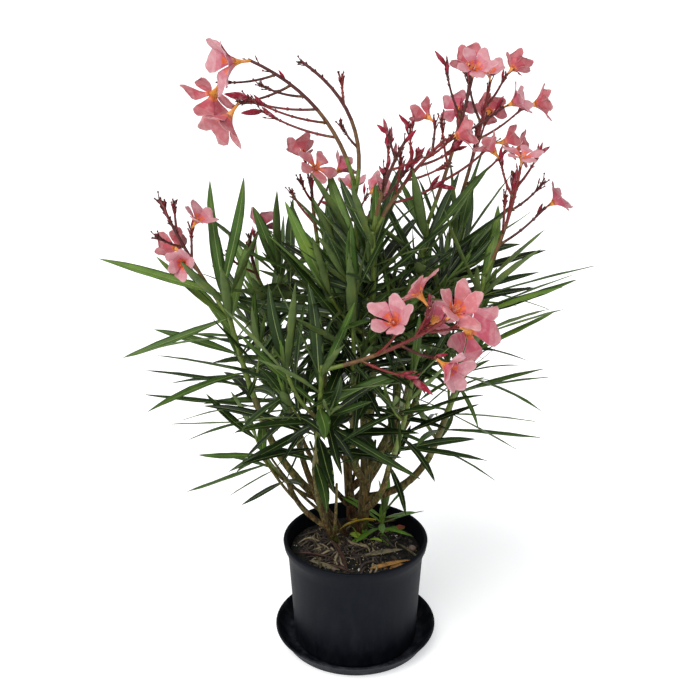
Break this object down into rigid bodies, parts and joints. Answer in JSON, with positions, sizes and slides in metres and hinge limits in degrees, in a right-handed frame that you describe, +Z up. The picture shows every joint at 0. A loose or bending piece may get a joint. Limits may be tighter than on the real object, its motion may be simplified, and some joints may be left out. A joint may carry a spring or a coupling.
{
  "type": "potted oleander",
  "caption": "Flowering evergreen shrub with long narrow leaves and loose pink flower heads, rooted in a round plastic nursery pot on a saucer.",
  "frame": {"origin": "middle of the saucer's flat underside, on the pot's axis", "axes": "+Z up, +X to the right and -Y towards the viewer who sees the tall arching flower head on the left"},
  "size_m": [0.6516, 0.5548, 0.875],
  "materials": {
    "pot_plastic": "satin charcoal black moulded plastic",
    "potting_mix": "damp dark bark and peat mix with pale grit",
    "bark": "smooth grey-brown bark with fine lenticels",
    "foliage": "leathery dark green leaf with a pale midrib",
    "young_foliage": "young light green leaf",
    "petal": "soft salmon pink petal",
    "bud": "crimson bud",
    "stalk": "reddish brown flower stalk"
  },
  "bodies": {
    "root": {"saucer": "pot_plastic", "pot": "pot_plastic", "potting_mix": "potting_mix", "trunk_main": "bark", "trunk_left": "bark", "trunk_front": "bark", "trunk_back": "bark", "bough_center": "bark", "bough_right": "bark", "bough_mid": "bark", "bough_tall": "bark", "bough_top_right": "bark", "bough_front_right": "bark", "bough_left": "bark", "bough_left_back": "bark", "bough_front_left": "bark", "bough_low_left": "bark", "bough_back_left": "bark", "bough_far_right": "bark", "bough_back_center": "bark", "bough_back_right": "bark", "bough_low_back": "bark", "foliage_center": "foliage", "foliage_right": "foliage", "foliage_mid": "foliage", "foliage_tall": "foliage", "foliage_top_right": "foliage", "foliage_front_right": "foliage", "foliage_left": "foliage", "foliage_left_back": "foliage", "foliage_front_left": "foliage", "foliage_low_left": "foliage", "foliage_back_left": "foliage", "foliage_far_right": "foliage", "foliage_back_center": "foliage", "foliage_back_right": "foliage", "foliage_low_back": "foliage", "basal_sprout": "young_foliage"}
  },
  "joints": []
}
